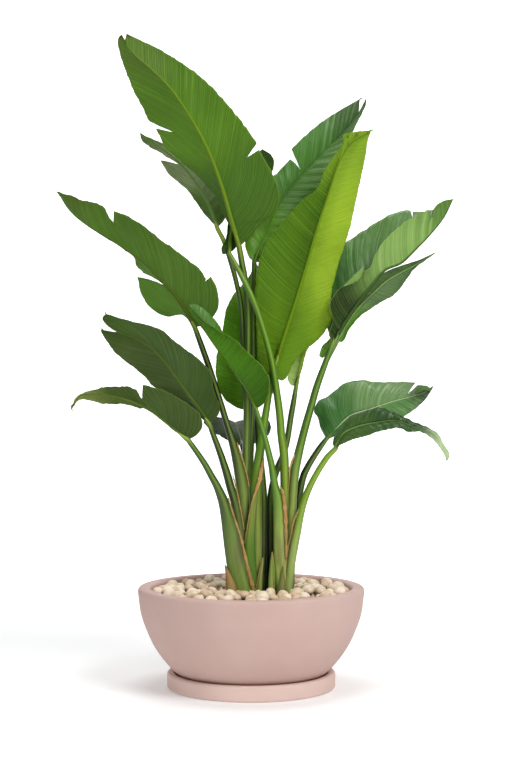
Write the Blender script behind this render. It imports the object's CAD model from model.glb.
"""The looks of a potted bird of paradise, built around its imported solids.

Blender 4.5. Everything is in metres, +Z up, in the frame of the solids, whose origin is the centre
of the saucer's underside.
"""

import math
import random

import bmesh
import bpy
import numpy as np
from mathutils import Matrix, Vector


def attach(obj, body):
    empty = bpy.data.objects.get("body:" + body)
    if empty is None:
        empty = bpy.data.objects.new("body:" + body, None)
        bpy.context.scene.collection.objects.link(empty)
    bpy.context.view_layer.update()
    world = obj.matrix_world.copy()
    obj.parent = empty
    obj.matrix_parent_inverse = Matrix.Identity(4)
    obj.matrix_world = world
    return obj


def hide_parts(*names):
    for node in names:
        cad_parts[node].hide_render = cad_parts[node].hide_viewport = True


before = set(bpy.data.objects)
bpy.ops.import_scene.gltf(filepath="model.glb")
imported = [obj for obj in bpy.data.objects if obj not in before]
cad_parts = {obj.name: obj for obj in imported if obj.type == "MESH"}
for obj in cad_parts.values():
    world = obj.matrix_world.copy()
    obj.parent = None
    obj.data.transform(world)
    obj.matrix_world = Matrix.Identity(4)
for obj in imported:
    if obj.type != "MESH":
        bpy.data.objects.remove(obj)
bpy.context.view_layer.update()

# ---------------------------------------------------------------- saucer
# A shallow round tray that catches the drain water. Pressed from the same fibre clay as the bowl,
# with every edge rounded, then painted a matte blush.

MM = 0.001
ROUND_SIDES = 160
SAUCER = {"radius": 168, "height": 31, "floor": 12, "wall": 16, "round": 5, "cove": 6}


def arc(centre, radius, start, end, steps):
    """Points on an arc of a circle in a profile, from one angle in degrees to another."""
    angles = np.radians(np.linspace(start, end, steps + 1))
    return [(centre[0] + radius * math.cos(a), centre[1] + radius * math.sin(a)) for a in angles]


def mesh_object(name, points, faces, materials, face_slots=None):
    """A smooth-shaded mesh object that rides on the part, from points in metres."""
    mesh = bpy.data.meshes.new(name)
    mesh.from_pydata([tuple(point) for point in points], [], faces)
    for material in materials:
        mesh.materials.append(material)
    if face_slots is not None:
        mesh.polygons.foreach_set("material_index", np.asarray(face_slots, dtype=np.int32))
    mesh.polygons.foreach_set("use_smooth", np.ones(len(mesh.polygons), dtype=bool))
    mesh.update()
    made = bpy.data.objects.new(name, mesh)
    bpy.context.scene.collection.objects.link(made)
    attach(made, "root")
    return made


def turned(name, profile, material):
    """A closed profile of (radius, height) in millimetres, turned round the Z axis."""
    profile = np.array(profile) * MM
    turns = np.linspace(0, 2 * math.pi, ROUND_SIDES, endpoint=False)
    rings = [[(r * math.cos(a), r * math.sin(a), z) for r, z in profile] for a in turns]
    count = len(profile)
    faces = []
    for side in range(ROUND_SIDES):
        here = side * count
        there = (side + 1) % ROUND_SIDES * count
        for i in range(count):
            j = (i + 1) % count
            faces.append((here + i, there + i, there + j, here + j))
    made = mesh_object(name, [point for ring in rings for point in ring], faces, [material])
    bm = bmesh.new()
    bm.from_mesh(made.data)
    bmesh.ops.remove_doubles(bm, verts=bm.verts, dist=1e-6)
    bmesh.ops.recalc_face_normals(bm, faces=bm.faces)
    bm.to_mesh(made.data)
    bm.free()
    return made


def colour(code):
    """A screen colour such as "c9ada2" as linear RGBA."""
    parts = [int(code[i : i + 2], 16) / 255 for i in (0, 2, 4)]
    return [p / 12.92 if p < 0.04045 else ((p + 0.055) / 1.055) ** 2.4 for p in parts] + [1.0]


def feed(tree, receiver, inputs):
    """Gives each input of a node its value, or joins it to a socket."""
    for name, value in inputs.items():
        if isinstance(value, bpy.types.NodeSocket):
            tree.links.new(value, receiver.inputs[name])
        else:
            receiver.inputs[name].default_value = value


def node(tree, kind, inputs=None, **settings):
    """A new node with its settings and inputs."""
    made = tree.nodes.new(kind)
    for name, value in settings.items():
        setattr(made, name, value)
    feed(tree, made, inputs or {})
    return made


def calculate(tree, operation, *values):
    """The result socket of a Math node."""
    return node(tree, "ShaderNodeMath", dict(enumerate(values)), operation=operation).outputs[0]


def times(tree, a, b):
    return calculate(tree, "MULTIPLY", a, b)


def plus(tree, a, b):
    return calculate(tree, "ADD", a, b)


def mix(tree, factor, a, b, blend="MIX"):
    """The colour socket of a Mix node."""
    settings = {"data_type": "RGBA", "blend_type": blend}
    return node(tree, "ShaderNodeMix", {0: factor, 6: a, 7: b}, **settings).outputs[2]


def ramp(tree, value, low, high, to_low=0.0, to_high=1.0):
    """A value eased from one range to another."""
    inputs = {"Value": value, "From Min": low, "From Max": high, "To Min": to_low, "To Max": to_high}
    return node(tree, "ShaderNodeMapRange", inputs, interpolation_type="SMOOTHSTEP").outputs[0]


def noise(tree, scale, detail=2.0, stretch=(1, 1, 1)):
    """Soft random values over the object's own space, stretched along its axes."""
    place = node(tree, "ShaderNodeTexCoord").outputs["Object"]
    mapped = node(tree, "ShaderNodeMapping", {"Vector": place, "Scale": stretch}).outputs[0]
    inputs = {"Vector": mapped, "Scale": scale, "Detail": detail}
    return node(tree, "ShaderNodeTexNoise", inputs).outputs["Fac"]


def group_tree(name, inputs, outputs):
    """An empty node group with named sockets. Gives the tree, its inputs and its output node."""
    tree = bpy.data.node_groups.new(name, "ShaderNodeTree")
    kinds = {"colour": "NodeSocketColor", "value": "NodeSocketFloat"}
    for label, kind in inputs.items():
        tree.interface.new_socket(label, in_out="INPUT", socket_type=kinds[kind])
    for label, kind in outputs.items():
        tree.interface.new_socket(label, in_out="OUTPUT", socket_type=kinds[kind])
    given = tree.nodes.new("NodeGroupInput").outputs
    return tree, given, tree.nodes.new("NodeGroupOutput")


def new_material(name):
    """A material with only a Principled shader. Gives the material, its tree and the shader."""
    material = bpy.data.materials.new(name)
    material.use_nodes = True
    tree = material.node_tree
    return material, tree, tree.nodes["Principled BSDF"]


def bump(tree, height, distance, strength=1.0):
    """The normal socket of a Bump node."""
    inputs = {"Height": height, "Distance": distance, "Strength": strength}
    return node(tree, "ShaderNodeBump", inputs).outputs[0]


# Fibre clay shows through its paint as clouds of tone, fine grit and a few pin holes.
clay, given, results = group_tree(
    "fibre_clay", {"Paint": "colour", "Shade": "colour"}, {"Colour": "colour", "Height": "value"}
)
clouds = noise(clay, 7.0, 3.0)
grit = noise(clay, 420.0, 2.0)
streaks = noise(clay, 24.0, 4.0, (1, 1, 1.6))
cloudy = ramp(clay, clouds, 0.3, 0.72)
tone = mix(clay, cloudy, given["Paint"], given["Shade"])
tone = mix(clay, ramp(clay, streaks, 0.45, 0.8, 0.0, 0.3), tone, given["Shade"])
pits = node(clay, "ShaderNodeTexVoronoi", {"Scale": 260.0}).outputs["Distance"]
pin_holes = ramp(clay, pits, 0.05, 0.16)
height = plus(clay, times(clay, grit, 0.5), pin_holes)
feed(clay, results, {"Colour": tone, "Height": height})


def blush_clay(name, paint, shade):
    """Fibre clay under matte paint."""
    material, tree, shader = new_material(name)
    inputs = {"Paint": colour(paint), "Shade": colour(shade)}
    look = node(tree, "ShaderNodeGroup", inputs, node_tree=clay)
    relief = bump(tree, look.outputs["Height"], 0.0002, 0.35)
    feed(tree, shader, {"Base Color": look.outputs["Colour"], "Normal": relief})
    feed(tree, shader, {"Roughness": 0.78, "Specular IOR Level": 0.35})
    return material


edge, floor = SAUCER["round"], SAUCER["floor"]
inner, cove = SAUCER["radius"] - SAUCER["wall"], SAUCER["cove"]
saucer_profile = [
    (0, 0),
    *arc((SAUCER["radius"] - edge, edge), edge, -90, 0, 8),
    *arc((SAUCER["radius"] - edge, SAUCER["height"] - edge), edge, 0, 90, 8),
    *arc((inner + edge, SAUCER["height"] - edge), edge, 90, 180, 8),
    *arc((inner - cove, floor + cove), cove, 0, -90, 6),
    (0, floor),
]
saucer = turned("saucer_tray", saucer_profile, blush_clay("blush_saucer", "e2c6bc", "dabeb4"))
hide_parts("saucer")

# ---------------------------------------------------------------- bowl
# The planter: a round-bellied bowl with a drain hole and a thick rolled lip, cast in fibre clay and
# painted outside and in. It stands loose on the saucer's floor.

blush = blush_clay("blush_paint", "cbaea6", "c5a69d")
BOWL = {"rim_radius": 226, "rim_height": 200, "rim_width": 26, "drain_radius": 12, "lip": 7}
BOWL_FOOT = 12.3  # a hair above the saucer's floor
BOWL_FLOOR = 32.3
INNER_RIM = BOWL["rim_radius"] - BOWL["rim_width"]
BELOW_LIP = BOWL["rim_height"] - 10
BOWL_OUTSIDE = [
    (118, BOWL_FOOT), (149, 30), (171, 52), (194, 84), (209, 116), (220, 148),
    (BOWL["rim_radius"], BELOW_LIP),
]
BOWL_INSIDE = [
    (88, BOWL_FLOOR), (126, 46), (150, 68), (172, 98), (187, 132), (196, 164), (INNER_RIM, BELOW_LIP),
]


def smooth(points, steps=10):
    """A smooth line through the points: a centripetal Catmull-Rom curve."""
    points = np.asarray(points, dtype=float)
    before, after = 2 * points[0] - points[1], 2 * points[-1] - points[-2]
    knots = np.vstack([before, points, after])
    gaps = np.maximum(np.linalg.norm(np.diff(knots, axis=0), axis=1), 1e-9) ** 0.5
    line = []
    for i in range(len(points) - 1):
        p0, p1, p2, p3 = knots[i : i + 4]
        g0, g1, g2 = gaps[i : i + 3]
        into = (p1 - p0) / g0 - (p2 - p0) / (g0 + g1) + (p2 - p1) / g1
        out_of = (p2 - p1) / g1 - (p3 - p1) / (g1 + g2) + (p3 - p2) / g2
        t = np.linspace(0, 1, steps, endpoint=False)[:, None]
        line.append(
            p1 * (2 * t**3 - 3 * t**2 + 1)
            + into * g1 * (t**3 - 2 * t**2 + t)
            + p2 * (3 * t**2 - 2 * t**3)
            + out_of * g1 * (t**3 - t**2)
        )
    return np.vstack([*line, points[-1:]])


lip, top = BOWL["lip"], BOWL["rim_height"] - BOWL["lip"]
bowl_profile = [
    (BOWL["drain_radius"], BOWL_FOOT),
    *smooth(BOWL_OUTSIDE, 6),
    *arc((BOWL["rim_radius"] - lip, top), lip, 0, 90, 8),
    *arc((INNER_RIM + lip, top), lip, 90, 180, 8),
    *smooth(BOWL_INSIDE, 6)[::-1],
    (BOWL["drain_radius"], BOWL_FLOOR),
]
bowl = turned("bowl_planter", bowl_profile, blush)
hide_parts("bowl")

# ---------------------------------------------------------------- soil
# Peaty potting soil that fills the bowl and holds the roots. Its solid is the right shape as it is,
# and only slivers of it show between the stones, so it just gets its crumbly dark finish.

peat, tree, shader = new_material("peat_crumbs")
crumbs = noise(tree, 90.0, 6.0)
earth = mix(tree, crumbs, colour("1d140e"), colour("54402e"))
feed(tree, shader, {"Base Color": earth, "Normal": bump(tree, crumbs, 0.003), "Roughness": 0.95})
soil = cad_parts["soil"]
soil.data.materials.clear()
soil.data.materials.append(peat)

# ---------------------------------------------------------------- pebble dressing
# Washed cream river stones, 17 to 28 mm across, poured loose over the soil between the stalks. Three
# layers of stones, each one turned its own way and lying flat, with a soft tumbled polish.

PEBBLE_REACH = 0.191  # how far from the axis the stones' middles lie, in metres
PEBBLE_EDGE = 0.196  # how far their sides may reach
TOUCHING = 0.7  # how much of its radius a stone keeps from a stalk
STRAY = 0.003  # how far a stone lies from its even place
SETTLED = (-0.002, 0.003)  # how far below or above its layer's height
STONE_WIDTH = (0.86, 1.0)  # beside its length
STONE_DEPTH = (0.82, 0.96)
STONE_TILT = 0.35
LUMPS = 0.035
PEBBLE_LAYERS = [  # height of the stones' middles, how many, their radiuses, fineness, share kept
    {"height": 0.164, "count": 220, "radius": (0.0110, 0.0140), "detail": 2, "share": 1.0},
    {"height": 0.177, "count": 215, "radius": (0.0095, 0.0135), "detail": 3, "share": 1.0},
    {"height": 0.190, "count": 175, "radius": (0.0095, 0.0140), "detail": 3, "share": 0.72},
]
GOLDEN_TURN = math.pi * (3 - math.sqrt(5))
LAYER_TURN = 900  # for each metre of height, so that the layers don't repeat one another

# The stalks that the stones lie round: (across, away, half width, half depth) in millimetres.
STALK_FEET = [
    (-15, -18, 26, 10), (-38, -31, 11, 5), (-30, 1, 9, 9), (-12, 6, 9, 9), (-9, 22, 9, 9),
    (-27, 23, 9, 9), (-5, 41, 8, 8), (11, 0, 12, 9), (24, 19, 9, 8), (14, 40, 7, 7), (36, 31, 7, 7),
    (41, -14, 8, 7), (59, -10, 11, 9), (61, -23, 9, 4), (56, 8, 9, 8), (73, 4, 9, 9), (71, 20, 9, 8),
    (79, 34, 8, 8), (80, 50, 8, 8), (16, -14, 7, 4),
]


def rounded_stone(detail, draw):
    """The points and faces of one stone of radius 1: an ellipsoid with soft lumps."""
    bm = bmesh.new()
    bmesh.ops.create_icosphere(bm, subdivisions=detail, radius=1)
    points = np.array([vertex.co for vertex in bm.verts])
    faces = np.array([[vertex.index for vertex in face.verts] for face in bm.faces])
    bm.free()
    pull = np.array([[draw.uniform(-1, 1) for _ in range(3)] for _ in range(3)])
    lumps = 1 + LUMPS * np.sin(points @ pull.T * 2.0).sum(axis=1)
    return points * lumps[:, None], faces


def turn_matrix(draw):
    """A random turn as a 3 by 3 matrix."""
    basis, _ = np.linalg.qr(np.array([[draw.gauss(0, 1) for _ in range(3)] for _ in range(3)]))
    return basis


def clear_of_stalks(x, y, radius):
    """True for a stone that would not sit inside a stalk."""
    for across, away, half_width, half_depth in STALK_FEET:
        reach_x = (x / MM - across) / (half_width + radius / MM * TOUCHING)
        reach_y = (y / MM - away) / (half_depth + radius / MM * TOUCHING)
        if reach_x**2 + reach_y**2 < 1:
            return False
    return True


def give_facts(made, facts):
    """Values at each point of an object, by name, for its materials to read."""
    for fact, values in facts.items():
        layer = made.data.attributes.new(fact, "FLOAT", "POINT")
        layer.data.foreach_set("value", np.asarray(values, dtype=np.float32))


def fact_of(tree, name):
    return node(tree, "ShaderNodeAttribute", attribute_name=name).outputs["Fac"]


draw = random.Random(11)
stone_points, stone_faces, stone_tones, stone_lows = [], [], [], []
total = 0
for layer in PEBBLE_LAYERS:
    for i in range(layer["count"]):
        radius = draw.uniform(*layer["radius"])
        reach = min(PEBBLE_REACH * math.sqrt((i + 0.5) / layer["count"]), PEBBLE_EDGE - radius)
        spin = i * GOLDEN_TURN + layer["height"] * LAYER_TURN
        x = reach * math.cos(spin) + draw.uniform(-STRAY, STRAY)
        y = reach * math.sin(spin) + draw.uniform(-STRAY, STRAY)
        keep = draw.random() < layer["share"]
        points, faces = rounded_stone(layer["detail"], draw)
        proportions = (1.0, draw.uniform(*STONE_WIDTH), draw.uniform(*STONE_DEPTH))
        points = points @ turn_matrix(draw).T * np.array(proportions) * radius
        angle = draw.uniform(0, math.pi)
        cosine, sine = math.cos(angle), math.sin(angle)
        points[:, :2] = points[:, :2] @ np.array([[cosine, -sine], [sine, cosine]]).T
        tilt = draw.uniform(-STONE_TILT, STONE_TILT)
        points[:, 2] += points[:, 0] * tilt
        place = (x, y, layer["height"] + draw.uniform(*SETTLED))
        own_tone = draw.random()
        if not keep or not clear_of_stalks(x, y, radius):
            continue
        stone_points.append(points + place)
        stone_faces.append(faces + total)
        stone_tones += [own_tone] * len(points)
        stone_lows += (points[:, 2] / radius).tolist()
        total += len(points)

# Every stone has its own tone, from ivory to tan, with faint veins and a few iron stains.
river_stone, tree, shader = new_material("tumbled_river_stone")
tone = fact_of(tree, "tone")
base = mix(tree, ramp(tree, tone, 0.0, 1.0), colour("d8bb9a"), colour("fae9d2"))
base = mix(tree, ramp(tree, tone, 0.86, 0.95), base, colour("c9a880"))
veined = ramp(tree, noise(tree, 70.0, 4.0), 0.52, 0.68, 0.0, 0.5)
base = mix(tree, veined, base, colour("c4a57e"))
stained = ramp(tree, noise(tree, 28.0, 2.0), 0.58, 0.75, 0.0, 0.55)
base = mix(tree, stained, base, colour("b39668"))
base = mix(tree, ramp(tree, fact_of(tree, "height"), -0.45, 0.45, 0.95, 0.0), base, colour("3f2e1e"))
worn = ramp(tree, noise(tree, 160.0, 3.0), 0.3, 0.7, 0.3, 0.48)
grain = bump(tree, noise(tree, 240.0, 3.0), 0.0003, 0.5)
feed(tree, shader, {"Base Color": base, "Roughness": worn, "Normal": grain})

stones = mesh_object(
    "river_stones", np.vstack(stone_points), np.vstack(stone_faces).tolist(), [river_stone]
)
give_facts(stones, {"tone": stone_tones, "height": stone_lows})
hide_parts("pebble_dressing")

# ---------------------------------------------------------------- tall left leaf
# The biggest leaf, its underside turned to the front: a sheathing foot, a long stalk that runs on as
# the midrib, and a thin blade with pleats along its side veins, torn a little at both margins.

# The leaves were surveyed from one standpoint. A surveyed place is (across, up, away) in
# millimetres: where it shows in the upright plane through the pot's axis, and how far behind that
# plane it was judged to be.
STANDPOINT = np.array([9.6, -3120.0, 604.0])
BLADE_ROWS = 240
ROW_CROWDING = 0.08  # the rows stand closer at the foot and at the tip
RIDGE_COLUMNS = np.array([0, 0.3, 0.55, 0.75, 0.88, 0.97, 1.1])  # in radiuses of the midrib
RIDGE_LIMIT = 0.35  # the most of a half blade's width that the ridge's columns take up
FLAT_COLUMNS = 15  # from the ridge to the margin
BLADE_THICKNESS = 0.7
THINNING = 0.35  # how much thinner a blade is at its margin
GROOVE = 0.45  # how deep the midrib's groove is, in radiuses of the midrib
BULGE = {"early": 0.7, "blunt": 0.6}  # fullest before the middle, and full close to both ends
CROWN = 5  # how far a blade's halves arch over, at most
RIPPLE = 2.5  # how far a margin waves
RIPPLES = 3
RIPPLE_SHIFT = 50  # so that leaves that start at different places wave differently
FLUTTER = {"height": 1.5, "longest": 75}  # the small uneven waves near a margin
FRAY = {"height": 0.8, "longest": 26}  # how ragged a margin is
FRAY_RISES = (0.75, 1.0)
PLEATS = (12, 0.4)  # how far apart and how high
PLEATS_RISE = (0.04, 0.2)  # between these shares of the width they rise to their full height
PLEAT_SWAY = {"share": 0.3, "over": 31}  # how unevenly the pleats are spaced
PLEAT_FADE = {"share": 0.35, "over": 47}  # how much weaker some of them are
SLANT = 0.55  # how far forward the side veins run, for each millimetre outward
SLANT_BEND = 0.0012
TEAR_SPREAD = 0.03  # how far along the blade a tear disturbs it
TEAR_CURL = 2.0
TEAR_SHAPE = 0.7  # below 1, so that a tear gapes soon after its end
RIDGE = {"start": 0.9, "taper": 1.2, "least": 0.3}  # the midrib's radius beside the stalk's
STALK_SIDES = 24
STALK_STEPS = 8
STALK_RIBS = 9
STALK_REACH = 0.12  # how far the stalk runs into the blade
REACH_STEPS = 10
STALK_TAPER = 0.85  # how much it thins on the way
ROUND_STALK = 7  # half width up to which a stalk is round
SHEATH_DEPTH = 0.15  # how much a wider one gains in depth for its gain in half width
RIBBON = {"sides": 12, "steps": 10, "thinnest": 0.35}
RIBBON_WAVE = {"step": 3.0, "longest": 22}  # of its uneven edge
LINE_STEPS = 24  # points of a smooth line for each surveyed place
HEADING_STEP = 0.015  # how far around a row its heading is taken, as a share of the length


def surveyed(places):
    """Where surveyed places are in the part's frame, in millimetres."""
    places = np.asarray(places, dtype=float)
    on_plane = np.stack([places[:, 0], np.zeros(len(places)), places[:, 1]], axis=1)
    return STANDPOINT + (on_plane - STANDPOINT) * (1 - places[:, 2:3] / STANDPOINT[1])


def unit(vectors):
    return vectors / np.maximum(np.linalg.norm(vectors, axis=-1, keepdims=True), 1e-9)


def walk(line, shares):
    """Points at shares of a line's length."""
    steps = np.linalg.norm(np.diff(line, axis=0), axis=1)
    reached = np.concatenate([[0], np.cumsum(steps)])
    wanted = np.asarray(shares) * reached[-1]
    return np.stack([np.interp(wanted, reached, axis) for axis in line.T], axis=1)


def eased(values, low, high):
    """Values brought from 0 at a low one to 1 at a high one, with soft ends."""
    t = np.clip((values - low) / (high - low), 0, 1)
    return t * t * (3 - 2 * t)


def fullness(along):
    """The bulge of a paddle blade: full soon after the foot, narrow only near the tip."""
    return np.sin(np.pi * along ** BULGE["early"]).clip(0) ** BULGE["blunt"]


def ridge_radius(leaf, along):
    """Half the width of the midrib, which is slimmer than the stalk and thins towards the tip."""
    stalk_radius = leaf["stalk"][-1][3]
    return stalk_radius * RIDGE["start"] * (1 - along) ** RIDGE["taper"] + RIDGE["least"]


def wobble(values, draw, longest, count=4):
    """A smooth uneven wave between about -1 and 1."""
    total = np.zeros_like(values)
    for i in range(count):
        period = longest / (1.7**i)
        total += np.sin(2 * math.pi * values / period + draw.uniform(0, 2 * math.pi)) / (1.4**i)
    return total / 1.8


class Sheet:
    """Points and polygons of one leaf, with what its materials need to know at each point."""

    def __init__(self):
        self.points, self.facts, self.polygons, self.slots = [], [], [], []

    def add(self, points, **facts):
        """Adds points and gives their numbers. A fact is one value, or one for each point."""
        first = sum(len(block) for block in self.points)
        self.points.append(np.asarray(points, dtype=float))
        self.facts.append({name: np.broadcast_to(value, len(points)) for name, value in facts.items()})
        return first + np.arange(len(points))

    def face(self, corners, slot):
        self.polygons.append(tuple(int(corner) for corner in corners))
        self.slots.append(slot)

    def grid(self, numbers, slot, closed=False):
        """Joins a grid of point numbers with faces, leaving out corners that fall together."""
        nxt = np.roll(numbers, -1, axis=1) if closed else numbers[:, 1:]
        here = numbers if closed else numbers[:, :-1]
        for low, low_next, high, high_next in zip(here[:-1], nxt[:-1], here[1:], nxt[1:]):
            for corners in zip(low, low_next, high_next, high):
                polygon = dict.fromkeys(corners)
                if len(polygon) > 2:
                    self.face(polygon, slot)

    def arrays(self):
        facts = {name: np.concatenate([block[name] for block in self.facts]) for name in self.facts[0]}
        return np.vstack(self.points), facts


class Blade:
    """The course of one blade: its rows, where they cross the midrib, and how it runs there."""

    def __init__(self, leaf, draw):
        self.leaf = leaf
        self.rib = smooth(surveyed(leaf["rib"]), LINE_STEPS)
        self.length = np.linalg.norm(np.diff(self.rib, axis=0), axis=1).sum()
        even = np.linspace(0, 1, BLADE_ROWS + 1)
        self.rows = even - ROW_CROWDING * np.sin(2 * math.pi * even)
        for at, _ in leaf["left"]["tears"] + leaf["right"]["tears"]:
            self.rows[np.argmin(np.abs(self.rows - at))] = at
        self.feet = walk(self.rib, self.rows)
        before, after = (np.clip(self.rows + sign * HEADING_STEP, 0, 1) for sign in (-1, 1))
        self.ahead = unit(walk(self.rib, after) - walk(self.rib, before))
        self.drift = draw.uniform(0, 9)


def to_margin(half, lobe, along, feet):
    """The way from points on the midrib to the outline of one lobe."""
    bounds = [0, *[at for at, _ in half["tears"]], 1]
    start, end = bounds[lobe], bounds[lobe + 1]
    outline = smooth([(x, 0, z) for x, z in half["lobes"][lobe]], LINE_STEPS)
    places = walk(outline, (along - start) / (end - start))
    away = feet[:, 1] + half["lean"] * fullness(along)
    return surveyed(np.stack([places[:, 0], places[:, 2], away], axis=1)) - feet


def tears_beside(blade, half, lobe, along):
    """For each tear beside a lobe: what would close it, how near each row is, where it stops."""
    found = []
    for tear, (at, stop) in enumerate(half["tears"]):
        if tear in (lobe - 1, lobe):
            row = np.array([at])
            foot = walk(blade.rib, row)
            ends = [to_margin(half, which, row, foot)[0] for which in (tear, tear + 1)]
            shift = (ends[0] + ends[1]) / 2 - ends[0 if tear == lobe else 1]
            near = np.exp(-(((along - at) / TEAR_SPREAD) ** 2))
            found.append((shift, near, stop, 1 if tear == lobe else -1))
    return found


def column_shares(radius, widths):
    """Where a row's columns stand, as shares of its width, close together over the midrib."""
    ridge = np.minimum(RIDGE_COLUMNS[-1] * radius / np.maximum(widths, 1e-6), RIDGE_LIMIT)[:, None]
    flat = np.linspace(0, 1, FLAT_COLUMNS + 1)[1:]
    return np.hstack([ridge * RIDGE_COLUMNS / RIDGE_COLUMNS[-1], ridge + (1 - ridge) * flat])


def add_lobe(sheet, blade, half, lobe, turn, seeds):
    """One lobe of a half blade. Gives the numbers of its points, row by row, and its columns."""
    leaf = blade.leaf
    bounds = [0, *[at for at, _ in half["tears"]], 1]
    picked = np.nonzero((blade.rows >= bounds[lobe]) & (blade.rows <= bounds[lobe + 1]))[0]
    along, feet = blade.rows[picked], blade.feet[picked]
    own = to_margin(half, lobe, along, feet)
    tears = tears_beside(blade, half, lobe, along)
    closed = own.copy()
    for shift, near, _, _ in tears:
        closed += shift * near[:, None]
    shares = column_shares(ridge_radius(leaf, along), np.linalg.norm(closed, axis=1))
    across = np.repeat(own[:, None, :], shares.shape[1], axis=1)
    curl = np.zeros_like(shares)
    for shift, near, stop, lift in tears:
        opened = np.clip((shares - stop) / (1 - stop), 0, 1) ** TEAR_SHAPE
        across += shift * (near[:, None] * (1 - opened))[:, :, None]
        curl += lift * TEAR_CURL * opened * near[:, None]

    from_rib = np.linalg.norm(across, axis=2) * shares
    vein = (along * blade.length)[:, None] - (half["slant"] * from_rib + SLANT_BEND * from_rib**2)
    bulge = fullness(along)[:, None]
    period, height = leaf.get("pleats", PLEATS)
    sway = PLEAT_SWAY["share"] * np.sin(vein / PLEAT_SWAY["over"] + blade.drift)
    pleats = np.sin(2 * math.pi * (vein / period + sway))
    fade = PLEAT_FADE["share"] * np.sin(vein / PLEAT_FADE["over"] + blade.drift)
    uneven = (1 - PLEAT_FADE["share"]) + fade
    pleated = height * pleats * uneven * eased(shares, *PLEATS_RISE) * bulge
    arch = (1 if leaf["shows"] == "upper" else -1) * CROWN * 4 * shares * (1 - shares)
    phase = (leaf["rib"][0][0] + turn * leaf["rib"][0][1]) / RIPPLE_SHIFT
    wave = RIPPLE * np.sin(2 * math.pi * RIPPLES * along + phase)[:, None] * shares**2
    flutter, fray = (
        wobble(along * blade.length, random.Random(seed), manner["longest"])[:, None]
        for seed, manner in zip(seeds, (FLUTTER, FRAY))
    )
    lift = (arch + wave + flutter * FLUTTER["height"] * shares**4) * bulge + pleated + curl
    facing = unit(np.cross(across * turn, blade.ahead[picked][:, None, :]))
    ragged = FRAY["height"] * (fray * bulge) * eased(shares, *FRAY_RISES)
    bare = feet[:, None, :] + across * shares[:, :, None]
    points = bare + facing * lift[:, :, None] + unit(across) * ragged[:, :, None]
    facts = {
        "along": np.repeat(along, shares.shape[1]), "share": shares.ravel(), "vein": vein.ravel(),
        "side": turn, "from_rib": from_rib.ravel(),
    }
    numbers = sheet.add(points.reshape(-1, 3), **facts).reshape(shares.shape)
    return picked, along, shares, numbers


def blade_sheet(leaf, draw):
    """The blade's middle surface on both sides of the midrib, its lobes joined as far as a tear."""
    sheet, blade = Sheet(), Blade(leaf, draw)
    rows = blade.rows
    spine = sheet.add(blade.feet, along=rows, share=0, vein=rows * blade.length, side=0, from_rib=0)
    for side, turn in (("left", -1), ("right", 1)):
        half = leaf[side]
        seeds = [draw.random(), draw.random()]
        for lobe in range(len(half["lobes"])):
            picked, along, shares, numbers = add_lobe(sheet, blade, half, lobe, turn, seeds)
            numbers[:, 0] = spine[picked]
            if lobe > 0:
                joined = shares[0] <= half["tears"][lobe - 1][1]
                numbers[0, joined] = last_row[joined]
            numbers[along == 0.0] = spine[0]
            if not leaf.get("forked"):
                numbers[along == 1.0] = spine[-1]
            last_row = numbers[-1].copy()
            sheet.grid(numbers if turn > 0 else numbers[:, ::-1], 0)
    return sheet


def thickened(sheet, leaf):
    """The sheet with two faces and a rim. The midrib is a ridge below and a groove above."""
    points, facts = sheet.arrays()
    normals = np.zeros_like(points)
    corners = [(p[0], p[i], p[i + 1]) for p in sheet.polygons for i in range(1, len(p) - 1)]
    a, b, c = np.array(corners).T
    face_normals = np.cross(points[b] - points[a], points[c] - points[a])
    for corner in (a, b, c):
        np.add.at(normals, corner, face_normals)
    normals = unit(normals)
    along = facts["along"]
    radius = ridge_radius(leaf, along)
    inside = np.clip(1 - (facts["from_rib"] / radius) ** 2, 0, 1)
    half = BLADE_THICKNESS / 2 * (1 - THINNING * facts["share"])
    ridge = half + radius * np.sqrt(inside)
    groove = half - GROOVE * radius * inside * eased(along, STALK_REACH, 2 * STALK_REACH)
    front_slot = 0 if leaf["shows"] == "upper" else 1
    front, back = (groove, ridge) if leaf["shows"] == "upper" else (ridge, groove)
    solid = Sheet()
    first = solid.add(points + normals * front[:, None], **facts)
    second = solid.add(points - normals * back[:, None], **facts)
    open_edges = {}  # a dict keeps the order in which the rim is made
    for polygon in sheet.polygons:
        solid.face([first[i] for i in polygon], front_slot)
        solid.face([second[i] for i in reversed(polygon)], 1 - front_slot)
        for start, end in zip(polygon, polygon[1:] + polygon[:1]):
            if open_edges.pop((end, start), None) is None:
                open_edges[start, end] = True
    for start, end in open_edges:
        solid.face((first[end], first[start], second[start], second[end]), front_slot)
    return solid


def tube(sheet, centres, halves, depths, slot, sides=STALK_SIDES, along=None):
    """A closed tube of elliptic rings square to its path."""
    tangents = unit(np.gradient(centres, axis=0))
    side = unit(np.cross([0.0, 1.0, 0.0], tangents))
    depth = np.cross(tangents, side)
    angles = np.linspace(0, 2 * math.pi, sides, endpoint=False)
    wide = side[:, None, :] * (halves[:, None] * np.cos(angles))[:, :, None]
    deep = depth[:, None, :] * (depths[:, None] * np.sin(angles))[:, :, None]
    rings = centres[:, None, :] + wide + deep
    shape = rings.shape[:2]
    reached = np.concatenate([[0], np.cumsum(np.linalg.norm(np.diff(centres, axis=0), axis=1))])
    if along is None:
        along = np.broadcast_to((reached / reached[-1])[:, None], shape).ravel()
    round_it = (np.cos(angles), angles * STALK_RIBS)
    share, vein = (np.broadcast_to(values, shape).ravel() for values in round_it)
    from_rib = np.broadcast_to(reached[:, None], shape).ravel()
    facts = {"along": along, "share": share, "vein": vein, "side": 0, "from_rib": from_rib}
    numbers = sheet.add(rings.reshape(-1, 3), **facts).reshape(shape)
    sheet.grid(numbers, slot, closed=True)
    sheet.face(numbers[0][::-1], slot)
    sheet.face(numbers[-1], slot)


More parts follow.
